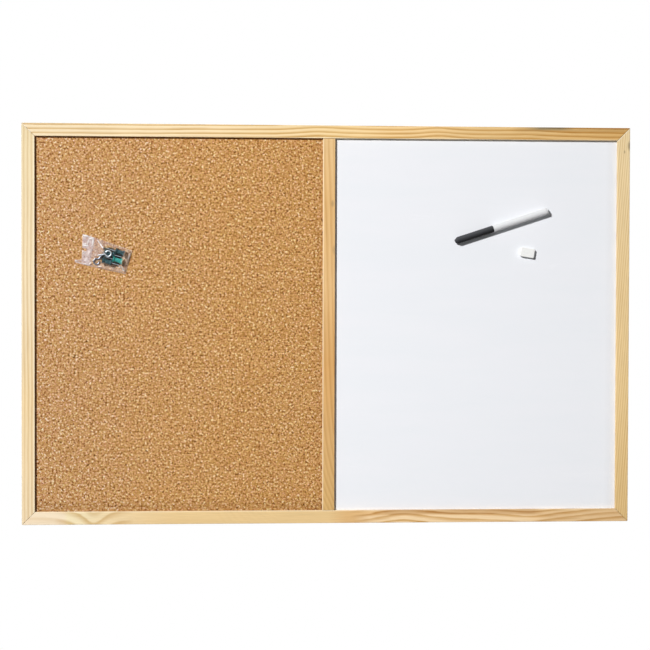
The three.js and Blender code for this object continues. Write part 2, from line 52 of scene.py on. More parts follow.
BOARD_MIDDLE = Vector((0, FRONT, (FOOT + TOP) / 2))

# Inner edges of the frame, seen from the front
OPENING_TOP, OPENING_FOOT = rail_low.z, foot_high.z
CORK_LEFT, CORK_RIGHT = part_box("frame_stile_left")[1].x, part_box("centre_bar")[0].x
WHITE_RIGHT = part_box("frame_stile_right")[0].x


# Camera: a little above and left of the board's middle, as in the photograph

IMAGE_SIDE = 650
FOCAL_PIXELS = 1800
SENSOR = 36
CAMERA_SIDE = math.radians(-4.054)
CAMERA_RISE = math.radians(1.359)
CAMERA_ROLL = math.radians(0.16)
CAMERA_DISTANCE = 1.7734
CAMERA_AIM = BOARD_MIDDLE + Vector((-3.8, 0, -0.25)) * MM


def place_camera():
    lens = bpy.data.cameras.new("camera")
    lens.sensor_width = SENSOR
    lens.lens = SENSOR * FOCAL_PIXELS / IMAGE_SIDE
    camera = bpy.data.objects.new("camera", lens)
    back = Vector((
        math.sin(CAMERA_SIDE) * math.cos(CAMERA_RISE),
        -math.cos(CAMERA_SIDE) * math.cos(CAMERA_RISE),
        math.sin(CAMERA_RISE)))
    right = (-back).cross(Vector((0, 0, 1))).normalized()
    up = right.cross(-back)
    turned_right = math.cos(CAMERA_ROLL) * right + math.sin(CAMERA_ROLL) * up
    turned_up = -math.sin(CAMERA_ROLL) * right + math.cos(CAMERA_ROLL) * up
    turn = Matrix((turned_right, turned_up, back)).transposed().to_4x4()
    camera.matrix_world = Matrix.Translation(CAMERA_AIM + CAMERA_DISTANCE * back) @ turn
    bpy.context.scene.collection.objects.link(camera)
    bpy.context.scene.camera = camera


place_camera()


# Colours

def shade(red, green, blue):
    """A colour as it shows on a screen, 0 to 255, in the renderer's linear values."""
    linear = [v / 255 / 12.92 if v <= 10 else ((v / 255 + 0.055) / 1.055) ** 2.4 for v in (red, green, blue)]
    return (*linear, 1.0)


def darkened(red, green, blue, shares):
    """A shade with each of its three parts cut to its own share."""
    return tuple(share * value for share, value in zip(shares, shade(red, green, blue))) + (1.0,)


def grey(value):
    return (value, value, value, 1.0)


# Nodes of a finish

def finish(name):
    """A new material and its tree and shader."""
    material = bpy.data.materials.new(name)
    material.use_nodes = True
    tree = material.node_tree
    shader = tree.nodes["Principled BSDF"]
    return material, tree, shader


def feed(tree, node, inputs):
    """Links the sockets and sets the constants that a node takes in."""
    for key, value in inputs.items():
        if isinstance(value, bpy.types.NodeSocket):
            tree.links.new(value, node.inputs[key])
        else:
            node.inputs[key].default_value = value


def step(tree, kind, inputs=None, **settings):
    made = tree.nodes.new("ShaderNode" + kind)
    for key, value in settings.items():
        setattr(made, key, value)
    feed(tree, made, inputs or {})
    return made


def calc(tree, operation, *values):
    return step(tree, "Math", dict(enumerate(values)), operation=operation).outputs[0]


def plus(tree, one, other):
    return calc(tree, "ADD", one, other)


def minus(tree, one, other):
    return calc(tree, "SUBTRACT", one, other)


def times(tree, one, other):
    return calc(tree, "MULTIPLY", one, other)


def larger(tree, one, other):
    return calc(tree, "MAXIMUM", one, other)


def size_of(tree, value):
    return calc(tree, "ABSOLUTE", value)


def spread(tree, value, low, high, new_low=0.0, new_high=1.0):
    """The range from low to high laid over a new range, and held at its ends beyond."""
    inputs = {"Value": value, "From Min": low, "From Max": high, "To Min": new_low, "To Max": new_high}
    return step(tree, "MapRange", inputs).outputs[0]


def blend(tree, share, one, other, mode="MIX"):
    inputs = {0: share, 6: one, 7: other}
    return step(tree, "Mix", inputs, data_type="RGBA", blend_type=mode).outputs[2]


def filtered(tree, colour, other):
    """The colour multiplied by another."""
    return blend(tree, 1.0, colour, other, "MULTIPLY")


def scaled(tree, colour, factor):
    """The colour made lighter or darker by a factor."""
    return step(tree, "VectorMath", {0: colour, "Scale": factor}, operation="SCALE").outputs[0]


def tones(tree, value, stops):
    """A colour ramp with the given (place, colour) stops."""
    ramp = step(tree, "ValToRGB", {"Fac": value})
    places = ramp.color_ramp.elements
    while len(places) < len(stops):
        places.new(1)
    for place, (position, colour) in zip(places, stops):
        place.position = position
        place.color = colour
    return ramp.outputs["Color"]


def coordinates(tree):
    place = step(tree, "TexCoord").outputs["Object"]
    split = step(tree, "SeparateXYZ", {0: place})
    return place, split.outputs


def joined(tree, x, y, z):
    return step(tree, "CombineXYZ", {0: x, 1: y, 2: z}).outputs[0]


def length_of(tree, place):
    return step(tree, "VectorMath", {0: place}, operation="LENGTH").outputs["Value"]


def noise(tree, place, scale, detail=2.0, roughness=0.5, output="Fac"):
    inputs = {"Vector": place, "Scale": scale, "Detail": detail, "Roughness": roughness}
    return step(tree, "TexNoise", inputs).outputs[output]


def stirred(tree, place, wobble, reach):
    """A place moved about by a coloured noise, by up to half the reach each way."""
    centred = step(tree, "VectorMath", {0: wobble, 1: (0.5,) * 3}, operation="SUBTRACT").outputs[0]
    inputs = {0: centred, 1: (reach,) * 3, 2: place}
    return step(tree, "VectorMath", inputs, operation="MULTIPLY_ADD").outputs[0]


def bump(tree, shader, height, strength, distance):
    inputs = {"Height": height, "Strength": strength, "Distance": distance}
    tree.links.new(step(tree, "Bump", inputs).outputs[0], shader.inputs["Normal"])


def put_on(material, *names):
    for name in names:
        nodes[name].data.materials.clear()
        nodes[name].data.materials.append(material)


def begins(*starts):
    """The names of the nodes that begin in one of these ways."""
    return [name for name in nodes if name.startswith(starts)]


# Pine

LATE_WOOD = (0.58, 0.38, 0.1, 1.0)  # what the dark part of a growth ring leaves of the pale part's colour
# pale arris tone: a worn edge and a painted highlight where light catches the inner arris
SANDED_AND_HIGHLIT = shade(255, 244, 216)
KNOT = shade(104, 88, 62)
SOFT_END = 7 * MM  # over which a stretch of faint rings or another tone begins and ends
SOFT_SIDE = 0.9 * MM  # the same across the bar
WASH_DEPTHS = FRONT + 1.5 * MM, FRONT + 5 * MM  # between which a wash fades out on the bar's sides
CLOSER_OVER = 0.03  # half the length over which rings draw closer


def along_grain(tree, length, across, y, with_grain, over_grain):
    """A place for noise that is drawn out along the grain."""
    return joined(
        tree, times(tree, length, with_grain), times(tree, across, over_grain), times(tree, y, over_grain))


def swing(tree, value, width):
    """A value from 0 to 1 made to swing about nothing, over a given width."""
    return times(tree, minus(tree, value, 0.5), width)


def between(tree, length, start, end, ragged_length=None):
    """One between two places along a bar, with soft ends, the first of them ragged if asked."""
    begun = length if ragged_length is None else ragged_length
    return times(
        tree, spread(tree, begun, start - SOFT_END, start + SOFT_END),
        spread(tree, length, end - SOFT_END, end + SOFT_END, 1.0, 0.0))


def run_of_grain(tree, radius, length, slope, bends, run_out):
    """The distance from the bar's heart, changed along the bar by the grain's slope and its swells."""
    radius = plus(tree, radius, times(tree, length, slope))
    for place, width, height in bends:
        off = calc(tree, "DIVIDE", minus(tree, length, place), width)
        hump = calc(tree, "DIVIDE", height, plus(tree, 1.0, times(tree, off, off)))
        radius = plus(tree, radius, hump)
    if run_out:
        start, further_slope = run_out
        beyond = larger(tree, minus(tree, length, start), 0.0)
        radius = plus(tree, radius, times(tree, beyond, further_slope))
    return radius


def late_wood(tree, rings, slow, seed):
    """How much of each place is late wood: each ring darkens slowly and ends sharply, some years less."""
    phase = calc(tree, "FRACT", rings)
    band = times(tree, spread(tree, phase, 0.3, 0.76), spread(tree, phase, 0.84, 1.0, 1.0, 0.0))
    year = step(
        tree, "TexWhiteNoise", {"W": plus(tree, calc(tree, "FLOOR", rings), seed)},
        noise_dimensions="1D").outputs["Value"]
    patchy = spread(tree, noise(tree, slow, 2.6), 0.35, 0.65, 0.7, 1.0)
    return times(tree, times(tree, band, spread(tree, year, 0, 1, 0.7, 1.0)), patchy)


def washed(tree, colour, length, across, y, wander, washes):
    """Soft patches of another tone on the bar's front."""
    ragged_length = plus(tree, length, times(tree, wander, 4.0))
    wavy = plus(tree, across, times(tree, wander, 0.5))
    on_front = spread(tree, y, *WASH_DEPTHS, 1.0, 0.0)
    for start, end, low_edge, high_edge, tone, share in washes:
        patch = between(tree, length, start, end, ragged_length)
        patch = times(tree, patch, spread(tree, wavy, low_edge - SOFT_SIDE, low_edge + SOFT_SIDE))
        patch = times(
            tree, patch, spread(tree, wavy, high_edge - SOFT_SIDE, high_edge + SOFT_SIDE, share, 0.0))
        colour = blend(tree, times(tree, patch, on_front), colour, tone)
    return colour


def knotted(tree, colour, length, across, y, ripple, knots):
    """Knots in the bar's front, drawn out along the grain."""
    for place, side, size, strength in knots:
        ragged_depth = plus(
            tree, times(tree, ripple, 1.5), times(tree, minus(tree, y, FRONT), 0.8))
        off = joined(
            tree, times(tree, minus(tree, length, place), 0.5), minus(tree, across, side), ragged_depth)
        mark = spread(tree, length_of(tree, off), size, 0.35 * size, 0.0, strength)
        colour = blend(tree, mark, colour, KNOT)
    return colour


def mitred(tree, colour, length, across, mitre):
    """A line of another tone along the bar's mitre."""
    corner_along, corner_across, turn, width, tone, share = mitre
    off = plus(
        tree, minus(tree, length, corner_along), times(tree, minus(tree, across, corner_across), turn))
    near = spread(tree, size_of(tree, off), 0.5 * width, 1.5 * width, share, 0.0)
    return blend(tree, near, colour, tone)


def pine(name, along, stops, ring, heart, seed, contrast, slope=0.0, bends=(), run_out=None, finer=None,
         calm=(), sanded_and_highlit=None, washes=(), knots=(), mitre=None):
    """Pine with its grain along one axis. stops give its pale tone from one end to the other, ring is the
    width of a year's growth, heart the middle of the rings across the bar and in depth, slope the run-out of
    the grain, bends the swells of the rings as place, width and height, run_out a further slope from a place
    on, and finer the place beyond which the rings lie so many times closer. calm gives lengths with faint
    rings as start, end and share left, and sanded_and_highlit a pale worn arris with a painted highlight
    along it, as its inner and outer edge and share.
    washes are soft patches of another tone, each as its ends along, its edges across, its tone and its share,
    knots each a place along, a place across, a size and a strength, and mitre a line of another tone along a
    mitred end, as the corner's place along, its place across, the mitre's turn, the line's width, tone and
    share."""
    material, tree, shader = finish(name)
    _, (x, y, z) = coordinates(tree)
    length, across, low, high = (x, z, LEFT, RIGHT) if along == "X" else (z, x, TOP, FOOT)
    shifted = plus(tree, length, seed)
    slow = along_grain(tree, shifted, across, y, 5.0, 22.0)
    fine = along_grain(tree, shifted, across, y, 30.0, 350.0)
    streaks = along_grain(tree, shifted, across, y, 60.0, 2600.0)
    wander = swing(tree, noise(tree, slow, 1.0), 1.3 * ring)
    ripple = swing(tree, noise(tree, fine, 1.0), 0.3 * ring)

    radius = length_of(tree, joined(tree, 0.0, minus(tree, across, heart[0]), minus(tree, y, heart[1])))
    radius = plus(tree, plus(tree, radius, wander), ripple)
    radius = run_of_grain(tree, radius, length, slope, bends, run_out)
    rings = calc(tree, "DIVIDE", radius, ring)
    if finer:
        place, factor = finer
        rings = times(
            tree, rings, spread(tree, length, place - CLOSER_OVER, place + CLOSER_OVER, 1.0, factor))
    band = late_wood(tree, rings, slow, seed)
    for start, end, share in calm:
        band = times(tree, band, spread(tree, between(tree, length, start, end), 0, 1, 1.0, share))

    base = tones(tree, spread(tree, length, low, high), stops)
    cloudy = spread(tree, noise(tree, slow, 1.7, 3.0), 0.3, 0.7, 0.95, 1.05)
    base = scaled(tree, base, times(tree, cloudy, 1 + 0.08 * contrast))
    # a pale band along one arris: worn edge and painted highlight
    if sanded_and_highlit:
        inner, outer, share = sanded_and_highlit
        pale = spread(tree, across, outer, inner, 0.0, share)
        band = times(tree, band, minus(tree, 1.0, pale))
        base = blend(tree, pale, base, SANDED_AND_HIGHLIT)
    if washes:
        base = washed(tree, base, length, across, y, wander, washes)
    colour = blend(tree, times(tree, band, contrast), base, filtered(tree, base, LATE_WOOD))
    fibre = noise(tree, streaks, 1.0, 3.0, 0.6)
    colour = scaled(tree, colour, spread(tree, fibre, 0.3, 0.7, 0.93, 1.07))
    colour = knotted(tree, colour, length, across, y, ripple, knots)
    if mitre:
        colour = mitred(tree, colour, length, across, mitre)
    roughness = spread(tree, fibre, 0.3, 0.7, 0.52, 0.4)
    feed(tree, shader, {"Base Color": colour, "Roughness": roughness, "Specular IOR Level": 0.3})
    height = minus(tree, times(tree, fibre, 0.6), times(tree, band, 0.5))
    bump(tree, shader, height, 0.3, 0.12 * MM)
    return material


put_on(pine(
    "pine top", "X", [
        (0.0, shade(219, 201, 167)), (0.3, shade(233, 211, 170)), (0.5, shade(235, 207, 154)),
        (0.62, shade(230, 197, 142)), (0.78, shade(219, 185, 128)), (1.0, shade(206, 165, 101))],
    ring=4.0 * MM, heart=(0.0364, -0.024), seed=3.1, contrast=1.0,
    bends=[(-0.012, 0.035, 0.0032), (0.108, 0.022, 0.003), (0.2, 0.03, 0.0015)],
    sanded_and_highlit=(-0.0084, -0.0070, 0.6),
    washes=[
        (0.19, 0.3, 0.0002, 0.01, shade(168, 132, 80), 0.4),
        (0.204, 0.238, 0.0020, 0.01, shade(116, 108, 84), 0.8)]), "frame_rail_top")
put_on(pine(
    "pine bottom", "X", [
        (0.0, shade(229, 210, 182)), (0.068, shade(228, 210, 181)), (0.074, shade(228, 213, 175)),
        (0.15, shade(221, 197, 154)), (0.2, shade(219, 191, 143)), (0.25, shade(219, 189, 137)),
        (0.5, shade(221, 189, 136)), (0.53, shade(216, 175, 119)), (0.56, shade(218, 178, 124)),
        (0.61, shade(236, 202, 154)), (0.8, shade(232, 199, 153)), (1.0, shade(223, 190, 144))],
    ring=8.6 * MM, heart=(-0.43, -0.05), seed=7.4, contrast=1.0,
    bends=[(-0.23, 0.014, 0.013), (0.075, 0.035, -0.007), (0.2, 0.03, 0.003)],
    run_out=(0.09, -0.04), finer=(-0.08, 2.2),
    calm=[(-0.31, -0.262, 0.25), (-0.262, -0.198, 0.72), (-0.198, 0.028, 0.06)],
    sanded_and_highlit=(-0.3753, -0.3764, 0.45),
    washes=[
        (0.045, 0.212, -0.3806, -0.37, shade(184, 137, 80), 0.55),
        (0.03, 0.2, -0.39, -0.3812, shade(243, 215, 172), 0.6),
        (0.215, 0.31, -0.39, -0.37, shade(206, 168, 116), 0.35)]), "frame_rail_bottom")
put_on(pine(
    "pine left", "Z", [
        (0.0, shade(219, 201, 162)), (0.45, shade(226, 207, 172)), (0.7, shade(228, 204, 161)),
        (1.0, shade(231, 210, 174))],
    ring=3.1 * MM, heart=(-0.265, -0.03), seed=1.7, contrast=0.5,
    sanded_and_highlit=(-0.2874, -0.2890, 0.7)), "frame_stile_left")
put_on(pine(
    "pine right", "Z", [
        (0.0, shade(231, 209, 166)), (0.4, shade(230, 203, 153)), (0.7, shade(227, 198, 145)),
        (1.0, shade(219, 187, 131))],
    ring=2.2 * MM, heart=(0.355, -0.025), seed=5.2, contrast=0.55, slope=0.075,
    knots=[(-0.0135, 0.3004, 0.0034, 0.75), (-0.0195, 0.2945, 0.001, 0.5)],
    mitre=(4.3 * MM, 300.0 * MM, -1.0, 1.0 * MM, shade(252, 240, 212), 0.9)), "frame_stile_right")
put_on(pine(
    "pine middle", "Z", [
        (0.0, shade(227, 192, 139)), (0.2, shade(223, 181, 121)), (0.4, shade(223, 183, 127)),
        (0.6, shade(209, 161, 99)), (0.8, shade(208, 166, 108)), (1.0, shade(209, 171, 110))],
    ring=4.2 * MM, heart=(0.06, 0.01), seed=9.6, contrast=0.42, slope=-0.02,
    bends=[(-0.40, 0.05, 0.03)],
    sanded_and_highlit=(-0.006, -0.0046, 0.65),
    knots=[(-0.0725, 0.0035, 0.0022, 0.35), (-0.118, 0.0055, 0.003, 0.3)]), "centre_bar")


# Cork

GRANULE = 0.78 * MM
GRANULE_BENT = 0.7 * MM
CORK_TINT = (0.935, 0.92, 1.02, 1.0)
CORK_WARMER = (1.05, 1.0, 0.81, 1.0)
# tone of the painted shadow under the frame's left stile and top rail
CORK_PAINTED_SHADOW = (0.45, 0.22, 0.12, 1.0)


def cork():
    """Pressed granules, each of its own tone, a little warmer towards the right."""
    material, tree, shader = finish("cork")
    place, (x, _, z) = coordinates(tree)
    wobble = noise(tree, place, 700.0, 1.0, output="Color")
    bent = stirred(tree, joined(tree, x, z, 0.0), wobble, GRANULE_BENT)
    cells = {"Vector": bent, "Scale": 1 / GRANULE, "Randomness": 1.0}
    grains = step(tree, "TexVoronoi", cells, voronoi_dimensions="2D")
    gaps = step(
        tree, "TexVoronoi", cells, voronoi_dimensions="2D", feature="DISTANCE_TO_EDGE").outputs["Distance"]
    pick = step(tree, "SeparateColor", {0: grains.outputs["Color"]}).outputs
    even = noise(tree, grains.outputs["Position"], 520.0, 0.0)
    grain_tone = plus(tree, times(tree, pick[0], 0.54), spread(tree, even, 0.25, 0.75, -0.14, 0.62))
    colour = tones(tree, grain_tone, [
        (0.0, shade(96, 52, 14)), (0.1, shade(143, 93, 40)), (0.32, shade(191, 141, 83)),
        (0.6, shade(213, 167, 111)), (0.84, shade(238, 198, 149)), (1.0, shade(255, 245, 214))])
    ochre_or_pink = blend(tree, pick[2], (0.98, 1.03, 0.7, 1.0), (1.04, 0.96, 1.12, 1.0))
    colour = filtered(tree, colour, ochre_or_pink)
    ruddy = spread(tree, pick[1], 0.9, 1.0, 0.0, 0.45)
    colour = blend(tree, ruddy, colour, shade(196, 118, 72))
    speckle = spread(tree, noise(tree, place, 1500.0, 2.0, 0.6), 0.55, 0.75, 0.0, 0.5)
    colour = blend(tree, speckle, colour, shade(140, 92, 48))
    colour = blend(tree, spread(tree, gaps, 0.0, 0.09, 0.55, 0.0), colour, shade(110, 68, 32))

    drift = spread(tree, noise(tree, place, 9.0), 0.3, 0.7, -0.12, 0.1)
    warmth = plus(tree, spread(tree, x, LEFT, -0.1), drift)
    colour = filtered(tree, colour, CORK_TINT)
    colour = blend(tree, warmth, colour, filtered(tree, colour, CORK_WARMER))
    # painted shade: the cork darkened beside the centre bar and above the bottom rail
    painted_shade_by_frame = times(
        tree, spread(tree, x, CORK_RIGHT - 9.5 * MM, CORK_RIGHT, 1.0, 0.8),
        spread(tree, z, OPENING_FOOT, OPENING_FOOT + 13.1 * MM, 0.8, 1.0))
    colour = scaled(tree, colour, painted_shade_by_frame)
    # painted shadow: a dark warm line on the cork under the left stile and the top rail
    painted_shadow_under_frame = larger(
        tree, spread(tree, x, CORK_LEFT, CORK_LEFT + 2 * MM, 0.75, 0.0),
        spread(tree, z, OPENING_TOP - 2.3 * MM, OPENING_TOP - 0.3 * MM, 0.0, 0.75))
    colour = blend(tree, painted_shadow_under_frame, colour, filtered(tree, colour, CORK_PAINTED_SHADOW))
    feed(tree, shader, {"Base Color": colour, "Roughness": 0.85, "Specular IOR Level": 0.2})
    height = plus(tree, spread(tree, gaps, 0.0, 0.25), times(tree, pick[2], 0.8))
    bump(tree, shader, height, 0.5, 0.25 * MM)
    return material


put_on(cork(), "cork_sheet")


# Sheets behind and beside it

MESH_PITCH = 1.5 * MM


def lacquer():
    """Gloss white lacquer on steel, with the faint haze that wiping leaves."""
    material, tree, shader = finish("white lacquer")
    place, (x, _, z) = coordinates(tree)
    wiped = step(
        tree, "Mapping", {"Vector": place, "Rotation": (0, 0.6, 0), "Scale": (2.0, 1.0, 14.0)}).outputs[0]
    haze = noise(tree, wiped, 3.0, 4.0, 0.6)
    colour = blend(tree, spread(tree, haze, 0.35, 0.65), shade(237, 239, 243), shade(239, 240, 244))
    # painted shade: the lacquer darker towards the top and beside the right stile
    painted_shade_top_and_right = times(
        tree, spread(tree, z, -250.0 * MM, -8.0 * MM, 1.0, 0.965),
        spread(tree, x, WHITE_RIGHT - 11.4 * MM, WHITE_RIGHT, 1.0, 0.9))
    colour = scaled(tree, colour, painted_shade_top_and_right)
    roughness = spread(tree, haze, 0.3, 0.7, 0.2, 0.28)
    feed(tree, shader, {"Base Color": colour, "Roughness": roughness, "Specular IOR Level": 0.12})
    bump(tree, shader, noise(tree, place, 160.0), 0.04, 0.3 * MM)
    return material


def fibreboard():
    material, tree, shader = finish("fibreboard")
    place, _ = coordinates(tree)
    flecks = noise(tree, place, 1400.0, 4.0, 0.7)
    colour = tones(tree, flecks, [
        (0.3, shade(150, 122, 84)), (0.5, shade(184, 158, 118)), (0.72, shade(208, 186, 148))])
    feed(tree, shader, {"Base Color": colour, "Roughness": 0.95})
    bump(tree, shader, flecks, 0.5, 0.3 * MM)
    return material


def hardboard():
    """Brown hardboard with the mesh that its pressing screen leaves on the back."""
    material, tree, shader = finish("hardboard")
    place, (x, _, z) = coordinates(tree)
    warp = times(tree, noise(tree, place, 90.0), 1.2)
    rows, lines = (
        calc(tree, "SINE", plus(tree, times(tree, side, math.tau / MESH_PITCH), warp)) for side in (x, z))
    weave = times(tree, rows, lines)
    fibres = noise(tree, place, 900.0, 5.0, 0.7)
    patches = noise(tree, place, 14.0, 3.0)
    colour = tones(tree, plus(tree, times(tree, fibres, 0.7), times(tree, patches, 0.3)), [
        (0.35, shade(104, 72, 44)), (0.5, shade(134, 97, 63)), (0.66, shade(164, 124, 86))])
    colour = blend(tree, spread(tree, weave, -1, 1, 0.28, 0.0), colour, shade(82, 54, 32))
    feed(tree, shader, {"Base Color": colour, "Roughness": 0.82})
    bump(tree, shader, plus(tree, weave, times(tree, fibres, 0.8)), 0.5, 0.18 * MM)
    return material


put_on(lacquer(), "whiteboard_sheet")
put_on(fibreboard(), "cork_core", "whiteboard_core")
put_on(hardboard(), "back_panel")


# Metal

def zinc(name, scale, shares=(1.0, 1.0, 1.0), dulled=0.0):
    """Bright zinc plating, clouded and a little yellow in places; shares below one make it darker."""
    material, tree, shader = finish(name)
    place, _ = coordinates(tree)
    cloud = noise(tree, place, scale, 4.0, 0.6)
    colour = tones(tree, cloud, [
        (0.3, darkened(196, 194, 186, shares)), (0.5, darkened(214, 215, 216, shares)),
        (0.7, darkened(228, 230, 234, shares))])
    roughness = spread(tree, cloud, 0.3, 0.7, 0.36 + dulled, 0.2 + dulled)
    feed(tree, shader, {"Base Color": colour, "Metallic": 1.0, "Roughness": roughness})
    bump(tree, shader, noise(tree, place, 4 * scale), 0.15, 0.05 * MM)
    return material


put_on(zinc("zinc plate", 500.0), *begins("corner_nail", "panel_point"))
needles = [name for name in nodes if name.endswith("_needle")]
put_on(zinc("zinc wire", 900.0, (0.48, 0.54, 0.6)), *needles)
eye_finishes = {
    "screw_eye_1": zinc("zinc eye", 900.0, (0.6, 0.66, 0.71), 0.16),
    # the second eye is a darker copy of the same zinc: painted shade
    "screw_eye_2": zinc("zinc eye, painted shade", 900.0, (0.27, 0.3, 0.36)),
}
for eye, eye_finish in eye_finishes.items():
    put_on(eye_finish, eye)


# Moulded plastic

def plastic(name, tone, wear_and_glint, roughness, flow=260.0, gloss=0.5, painted_lit_side=None):
    """Moulded plastic with faint flow marks and light handling wear; on the pins the second tone is a painted
    highlight. painted_lit_side is a painted lighter upper side, where the light falls, as the middle of the
    piece, the way up across it, how far the side reaches down and up, and its tone."""
    material, tree, shader = finish(name)
    place, _ = coordinates(tree)
    marks = noise(tree, place, flow, 4.0, 0.65)
    colour = blend(tree, spread(tree, marks, 0.35, 0.7), tone, wear_and_glint)
    if painted_lit_side:
        middle, way, low, high, lit_tone = painted_lit_side
        off = step(tree, "VectorMath", {0: place, 1: middle}, operation="SUBTRACT").outputs[0]
        across = step(tree, "VectorMath", {0: off, 1: way}, operation="DOT_PRODUCT").outputs["Value"]
        across = plus(tree, across, swing(tree, marks, 1.2 * MM))
        colour = blend(tree, spread(tree, across, low, high), colour, lit_tone)
    uneven_roughness = spread(tree, marks, 0.3, 0.7, roughness, roughness + 0.12)
    feed(tree, shader, {"Base Color": colour, "Roughness": uneven_roughness, "Specular IOR Level": gloss})
    bump(tree, shader, noise(tree, place, 8 * flow), 0.06, 0.05 * MM)
    return material


put_on(
    plastic("barrel white", shade(219, 220, 221), shade(214, 215, 216), 0.3, gloss=0.3),
    "marker_barrel", "marker_end_plug")
cap_low, cap_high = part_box("marker_cap")
# painted light: the cap's upper side lighter where the lamp falls on it, its lower side left dark
painted_light_on_cap = (cap_low + cap_high) / 2, (-0.335, 0.0, 0.942), -2.4 * MM, 2.0 * MM, shade(72, 73, 76)
put_on(
    plastic("cap black", shade(26, 27, 29), shade(34, 35, 37), 0.4, gloss=0.08, painted_lit_side=painted_light_on_cap),
    "marker_cap")
put_on(plastic("magnet white", shade(243, 243, 241), shade(233, 233, 230), 0.35, flow=420.0), "magnet_cover")
put_on(plastic("ink rod", shade(226, 224, 216), shade(206, 204, 196), 0.8), "marker_reservoir")
put_on(plastic("ink felt", shade(28, 28, 32), shade(42, 42, 48), 0.85), "marker_nib")
put_on(plastic("ferrite", shade(60, 60, 62), shade(78, 77, 76), 0.6), "magnet_plate")
# the pins' second, paler tone is a painted highlight, in patches like glints on their facets
put_on(
    plastic("pin navy", shade(8, 36, 40), shade(66, 104, 110), 0.22, flow=420.0, gloss=0.15),
    "pin_1_head", "pin_3_head", "pin_4_head")
put_on(
    plastic("pin emerald", shade(3, 124, 116), shade(84, 190, 180), 0.22, flow=420.0, gloss=0.2),
    "pin_2_head")


# Bag: its own frame, in millimetres, has X from the mouth's lower corner to the foot, Y across and Z off the
# cork. Its mouth and its seal lie askew, each further along on the bag's upper side by its slant.

BAG_CORNER = Vector((-238.3, -10.8, -118.91)) * MM
BAG_TURN = math.radians(-16)
BAG_LENGTH = 43.8
MOUTH_HALF, FOOT_HALF = 14.4, 12.1
MOUTH_SLANT, SEAL_SLANT = 7.0, 2.7
SLANT_FADES = 12
SEAL_AT, SEAL_WIDTH = 7.3, 1.6
RIDGES_APART, RIDGE_WIDTH, RIDGE_HEIGHT = 0.9, 0.24, 0.5
WELD = 0.8
HOLE_MIDDLE, HOLE_RADIUS, HOLE_STRETCH = Vector((-1.0, 0.2)), 1.25, 1.8
FILM_STEPS = (96, 60)
FULL_RISE = 8.3
WELD_HEIGHT = 0.3
SHOULDER, SEAL_SHOULDER = 5.0, 4.5  # over which the film rises from its welds and from its seal
BACK_HEIGHT = 0.12  # of the back sheet off the cork
BACK_CREASED = 0.12  # of the front sheet's creases
# painted shade under the pins on the back sheet, dark and tinted with their colour
PINS_MIDDLE, PINS_HALF = (26.2, 1.4), (9.9, 8.4)
PAINTED_SHADE_UNDER_PINS = 0.78  # how dark the back sheet is there

# The film is draped at this many times its size, where the cloth solver is steady.
DRAPE_SCALE = 20
DRAPE_FRAMES = 34


def bag_place():
    """From the bag's own frame to the board's."""
    turn = Matrix.Rotation(-BAG_TURN, 4, "Y") @ Matrix.Rotation(math.pi / 2, 4, "X")
    return Matrix.Translation(BAG_CORNER) @ turn @ Matrix.Scale(MM, 4)


def clamped(value):
    return min(max(value, 0), 1)


def half_width(along):
    return MOUTH_HALF + (FOOT_HALF - MOUTH_HALF) * along / BAG_LENGTH


def lead(along, share):
    """How far a line across the bag runs ahead on its upper side."""
    if along < SEAL_AT:
        slant = MOUTH_SLANT + (SEAL_SLANT - MOUTH_SLANT) * along / SEAL_AT
    else:
        slant = SEAL_SLANT * max(0, 1 - (along - SEAL_AT) / SLANT_FADES)
    return slant * share


def film_grid(name):
    """A flat sheet of film with the bag's outline, and where each of its points lies along the bag."""
    bpy.ops.mesh.primitive_grid_add(x_subdivisions=FILM_STEPS[0], y_subdivisions=FILM_STEPS[1], size=1)
    sheet = bpy.context.object
    sheet.name = name
    places = []
    for vertex in sheet.data.vertices:
        along, share = (vertex.co.x + 0.5) * BAG_LENGTH, vertex.co.y + 0.5
        vertex.co = Vector((along - lead(along, share), (2 * share - 1) * half_width(along), 0))
        places.append(along)
    return sheet, places


def start_height(along, across):
    """The film starts as a plateau over the contents that falls to the welds and to the seal."""
    side = (half_width(along) - WELD - abs(across)) / SHOULDER
    foot = (BAG_LENGTH - WELD - along) / SHOULDER
    seal = (along - SEAL_AT - SEAL_WIDTH / 2) / SEAL_SHOULDER
    share = clamped(min(side, foot, seal))
    return WELD_HEIGHT + FULL_RISE * share * math.sqrt(2 - share)


def only(*chosen):
    bpy.ops.object.select_all(action="DESELECT")
    for piece in chosen:
        piece.select_set(True)
    bpy.context.view_layer.objects.active = chosen[0]


def contents_to_drape_on():
    """Copies of the pins and eyes at the draping size, as one thing that the film can't pass."""
    to_drape = Matrix.Scale(DRAPE_SCALE * MM, 4) @ bag_place().inverted()
    lumps = []
    for name in begins("pin_", "screw_eye"):
        lump = bpy.data.objects.new("lump", nodes[name].data.copy())
        lump.data.transform(to_drape @ nodes[name].matrix_world)
        bpy.context.scene.collection.objects.link(lump)
        lumps.append(lump)
    only(*lumps)
    bpy.ops.object.join()
    bpy.ops.object.modifier_add(type="COLLISION")
    lumps[0].collision.thickness_outer = 0.004
    lumps[0].collision.cloth_friction = 8
    return lumps[0]


